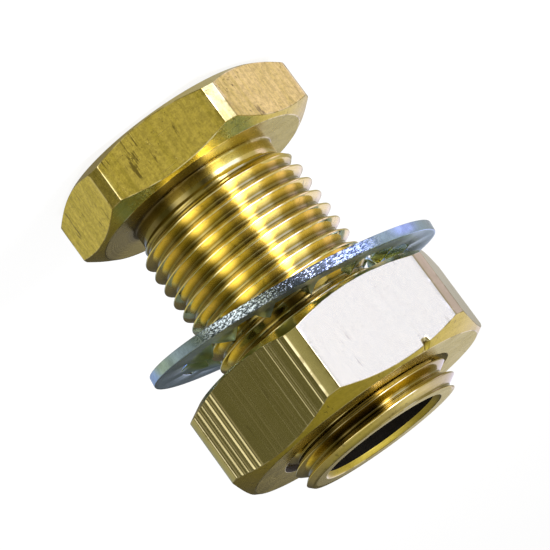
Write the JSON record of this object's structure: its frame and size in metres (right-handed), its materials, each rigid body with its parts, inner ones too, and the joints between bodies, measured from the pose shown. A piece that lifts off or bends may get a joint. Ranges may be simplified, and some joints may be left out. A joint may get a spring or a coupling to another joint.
{
  "type": "tank connector",
  "caption": "Brass tank connector: a hollow stud with a hex head and a threaded shank, a hex back nut, and a loose lock washer with twisted inner teeth.",
  "frame": {"origin": "centre of the hex head's outer face, on the bore's axis, so the connector stands on its head", "axes": "+Z along the bore from the head to the threaded end; one flat of the head faces -Y"},
  "size_m": [0.0359, 0.0361, 0.0423],
  "materials": {
    "brass": "turned and milled, bare",
    "zinc_steel": "zinc plated, stamped"
  },
  "bodies": {
    "stud": {"threaded_stud": "brass"},
    "washer": {"lock_washer": "zinc_steel"},
    "nut": {"back_nut": "brass"}
  },
  "joints": [
    {"name": "washer_travel", "type": "slide", "parent": "stud", "child": "washer", "axis": [0, 0, 1], "range_m": [-0.0137, 0.0114]},
    {"name": "nut_turn", "type": "hinge", "parent": "washer", "child": "nut", "pos_m": [0, 0, 0.03345], "axis": [0, 0, 1], "range_deg": [-2700, 2250]}
  ],
  "couplings": [
    {"joint": "washer_travel", "follows": "nut_turn", "m_per_rad": 0.00028871}
  ]
}
